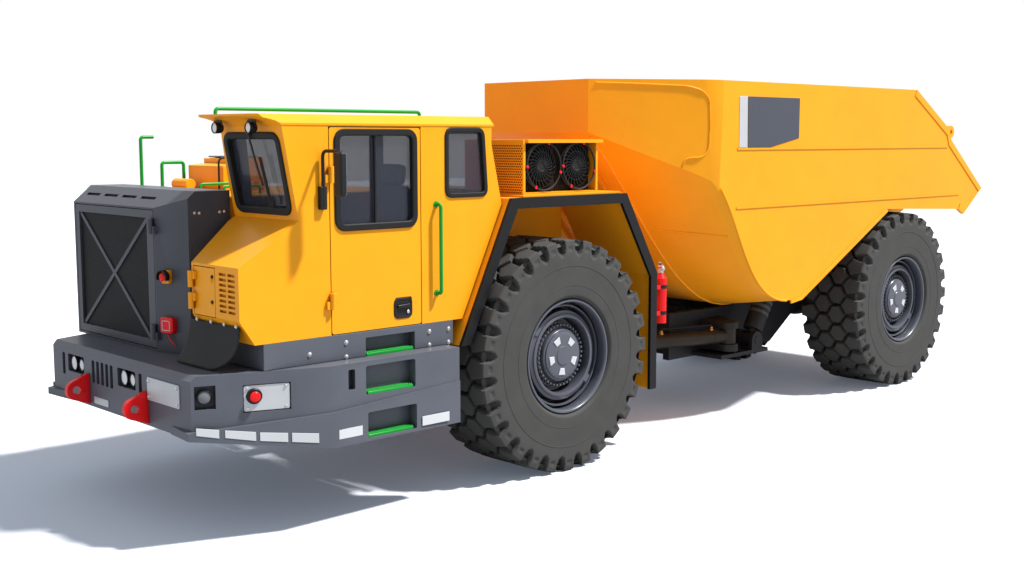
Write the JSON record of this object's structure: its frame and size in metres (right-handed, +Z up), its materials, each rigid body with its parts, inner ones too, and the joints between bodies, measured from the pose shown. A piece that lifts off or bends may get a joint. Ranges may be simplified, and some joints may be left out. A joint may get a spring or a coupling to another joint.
{
  "type": "articulated dump truck",
  "caption": "Low articulated dump truck for mines: cab and radiator side by side ahead of the front axle, steering pivot, scoop-shaped tipping body on telescopic hoists.",
  "frame": {"origin": "on the ground under the steering pivot, which is near the middle of the truck's length", "axes": "+X forward, +Y to the truck's left, +Z up"},
  "size_m": [11.2499, 3.115, 3.4646],
  "materials": {
    "yellow_paint": "glossy enamel",
    "slate_paint": "satin enamel",
    "dark_steel": "satin black paint",
    "engine_iron": "cast",
    "window_glass": "tinted",
    "seat_vinyl": "grained",
    "red_paint": "gloss enamel",
    "green_paint": "gloss enamel",
    "lamp_lens": "clear",
    "black_plastic": "moulded",
    "flap_rubber": "sheet",
    "bright_rod": "ground",
    "tyre_rubber": "matt",
    "rim_paint": "satin enamel"
  },
  "bodies": {
    "front_unit": {"front_chassis": "dark_steel", "bumper": "slate_paint", "cab_base": "slate_paint", "cab_shell": "yellow_paint", "cab_roof": "yellow_paint", "cab_glass": "window_glass", "operator_seat": "seat_vinyl", "radiator_housing": "slate_paint", "radiator_core": "dark_steel", "engine_block": "engine_iron", "engine_hood": "yellow_paint", "hood_boxes": "yellow_paint", "fender_left": "yellow_paint", "fender_right": "yellow_paint", "fan_box": "yellow_paint", "front_axle": "dark_steel", "tow_lugs": "red_paint", "green_rails": "green_paint", "lamps": "lamp_lens", "side_mirror": "black_plastic", "extinguisher": "red_paint", "nose_flap": "flap_rubber", "fender_flare_left": "black_plastic", "fender_flare_right": "black_plastic"},
    "cab_door": {"cab_door": "yellow_paint", "door_glass": "window_glass"},
    "radiator_door": {"radiator_door": "slate_paint"},
    "nose_hatch": {"nose_hatch": "yellow_paint"},
    "fan_front": {"fan_front": "black_plastic"},
    "fan_rear": {"fan_rear": "black_plastic"},
    "rear_unit": {"rear_frame": "dark_steel", "rear_axle": "dark_steel"},
    "dump_body": {"dump_body": "yellow_paint", "dump_floor": "yellow_paint", "dump_wings": "yellow_paint", "dump_tail": "yellow_paint", "hoist_ears": "yellow_paint", "dump_side_left": "yellow_paint", "dump_side_right": "yellow_paint"},
    "wheel_front_left": {"tyre_front_left": "tyre_rubber", "rim_front_left": "rim_paint"},
    "wheel_front_right": {"tyre_front_right": "tyre_rubber", "rim_front_right": "rim_paint"},
    "wheel_rear_left": {"tyre_rear_left": "tyre_rubber", "rim_rear_left": "rim_paint"},
    "wheel_rear_right": {"tyre_rear_right": "tyre_rubber", "rim_rear_right": "rim_paint"},
    "steer_barrel_left": {"steer_barrel_left": "dark_steel"},
    "steer_rod_left": {"steer_rod_left": "bright_rod"},
    "hoist_barrel_left": {"hoist_barrel_left": "dark_steel"},
    "hoist_outer_left": {"hoist_outer_left": "bright_rod"},
    "hoist_inner_left": {"hoist_inner_left": "bright_rod"},
    "hoist_rod_left": {"hoist_rod_left": "bright_rod"},
    "steer_barrel_right": {"steer_barrel_right": "dark_steel"},
    "steer_rod_right": {"steer_rod_right": "bright_rod"},
    "hoist_barrel_right": {"hoist_barrel_right": "dark_steel"},
    "hoist_outer_right": {"hoist_outer_right": "bright_rod"},
    "hoist_inner_right": {"hoist_inner_right": "bright_rod"},
    "hoist_rod_right": {"hoist_rod_right": "bright_rod"}
  },
  "joints": [
    {"name": "steering", "type": "hinge", "parent": "front_unit", "child": "rear_unit", "pos_m": [0, 0, 0.8], "axis": [0, 0, 1], "range_deg": [-40, 40]},
    {"name": "dump_tip", "type": "hinge", "parent": "rear_unit", "child": "dump_body", "pos_m": [-4.93, 0, 1.72], "axis": [0, -1, 0], "range_deg": [0, 65]},
    {"name": "cab_door_swing", "type": "hinge", "parent": "front_unit", "child": "cab_door", "pos_m": [4.324, 1.334, 2.2], "axis": [0, 0, -1], "range_deg": [0, 90]},
    {"name": "radiator_door_swing", "type": "hinge", "parent": "front_unit", "child": "radiator_door", "pos_m": [5.084, -0.002, 1.8], "axis": [0, 0, 1], "range_deg": [0, 100]},
    {"name": "nose_hatch_swing", "type": "hinge", "parent": "front_unit", "child": "nose_hatch", "pos_m": [5.134, 0.687, 1.79], "axis": [0, 0, -1], "range_deg": [0, 100]},
    {"name": "fan_front_spin", "type": "hinge", "parent": "front_unit", "child": "fan_front", "pos_m": [2.09, 1.24, 2.665], "axis": [0, 1, 0], "continuous": true},
    {"name": "fan_rear_spin", "type": "hinge", "parent": "front_unit", "child": "fan_rear", "pos_m": [1.655, 1.24, 2.665], "axis": [0, 1, 0], "continuous": true},
    {"name": "wheel_front_left_spin", "type": "hinge", "parent": "front_unit", "child": "wheel_front_left", "pos_m": [1.96, 1.135, 1.02], "axis": [0, 1, 0], "continuous": true},
    {"name": "wheel_front_right_spin", "type": "hinge", "parent": "front_unit", "child": "wheel_front_right", "pos_m": [1.96, -1.135, 1.02], "axis": [0, 1, 0], "continuous": true},
    {"name": "wheel_rear_left_spin", "type": "hinge", "parent": "rear_unit", "child": "wheel_rear_left", "pos_m": [-3.715, 1.135, 1.02], "axis": [0, 1, 0], "continuous": true},
    {"name": "wheel_rear_right_spin", "type": "hinge", "parent": "rear_unit", "child": "wheel_rear_right", "pos_m": [-3.715, -1.135, 1.02], "axis": [0, 1, 0], "continuous": true},
    {"name": "steer_barrel_left_turn", "type": "hinge", "parent": "rear_unit", "child": "steer_barrel_left", "pos_m": [-1.12, 0.9, 0.8], "axis": [0, 0, 1], "range_deg": [-6, 6]},
    {"name": "steer_rod_left_slide", "type": "slide", "parent": "steer_barrel_left", "child": "steer_rod_left", "axis": [0.9606, -0.2781, 0], "range_m": [-0.39, 0.39]},
    {"name": "hoist_barrel_left_turn", "type": "hinge", "parent": "rear_unit", "child": "hoist_barrel_left", "pos_m": [-1.56, 0.86, 0.71], "axis": [0, -1, 0], "range_deg": [-1, 6]},
    {"name": "hoist_outer_left_slide", "type": "slide", "parent": "hoist_barrel_left", "child": "hoist_outer_left", "axis": [-0.5094, 0, 0.8605], "range_m": [-0.005, 0.94853]},
    {"name": "hoist_inner_left_slide", "type": "slide", "parent": "hoist_outer_left", "child": "hoist_inner_left", "axis": [-0.5094, 0, 0.8605], "range_m": [-0.005, 0.94853]},
    {"name": "hoist_rod_left_slide", "type": "slide", "parent": "hoist_inner_left", "child": "hoist_rod_left", "axis": [-0.5094, 0, 0.8605], "range_m": [-0.005, 0.94853]},
    {"name": "steer_barrel_right_turn", "type": "hinge", "parent": "rear_unit", "child": "steer_barrel_right", "pos_m": [-1.12, -0.9, 0.8], "axis": [0, 0, 1], "range_deg": [-6, 6]},
    {"name": "steer_rod_right_slide", "type": "slide", "parent": "steer_barrel_right", "child": "steer_rod_right", "axis": [0.9606, 0.2781, 0], "range_m": [-0.39, 0.39]},
    {"name": "hoist_barrel_right_turn", "type": "hinge", "parent": "rear_unit", "child": "hoist_barrel_right", "pos_m": [-1.56, -0.86, 0.71], "axis": [0, -1, 0], "range_deg": [-1, 6]},
    {"name": "hoist_outer_right_slide", "type": "slide", "parent": "hoist_barrel_right", "child": "hoist_outer_right", "axis": [-0.5094, 0, 0.8605], "range_m": [-0.005, 0.94853]},
    {"name": "hoist_inner_right_slide", "type": "slide", "parent": "hoist_outer_right", "child": "hoist_inner_right", "axis": [-0.5094, 0, 0.8605], "range_m": [-0.005, 0.94853]},
    {"name": "hoist_rod_right_slide", "type": "slide", "parent": "hoist_inner_right", "child": "hoist_rod_right", "axis": [-0.5094, 0, 0.8605], "range_m": [-0.005, 0.94853]}
  ],
  "couplings": [
    {"joint": "steer_barrel_left_turn", "follows": "steering", "ratio": -0.13298},
    {"joint": "steer_rod_left_slide", "follows": "steering", "m_per_rad": 0.52525},
    {"joint": "hoist_barrel_left_turn", "follows": "dump_tip", "ratio": 0.072153},
    {"joint": "hoist_outer_left_slide", "follows": "dump_tip", "m_per_rad": 0.8317},
    {"joint": "hoist_inner_left_slide", "follows": "dump_tip", "m_per_rad": 0.8317},
    {"joint": "hoist_rod_left_slide", "follows": "dump_tip", "m_per_rad": 0.8317},
    {"joint": "steer_barrel_right_turn", "follows": "steering", "ratio": -0.13298},
    {"joint": "steer_rod_right_slide", "follows": "steering", "m_per_rad": -0.52525},
    {"joint": "hoist_barrel_right_turn", "follows": "dump_tip", "ratio": 0.072153},
    {"joint": "hoist_outer_right_slide", "follows": "dump_tip", "m_per_rad": 0.8317},
    {"joint": "hoist_inner_right_slide", "follows": "dump_tip", "m_per_rad": 0.8317},
    {"joint": "hoist_rod_right_slide", "follows": "dump_tip", "m_per_rad": 0.8317}
  ]
}
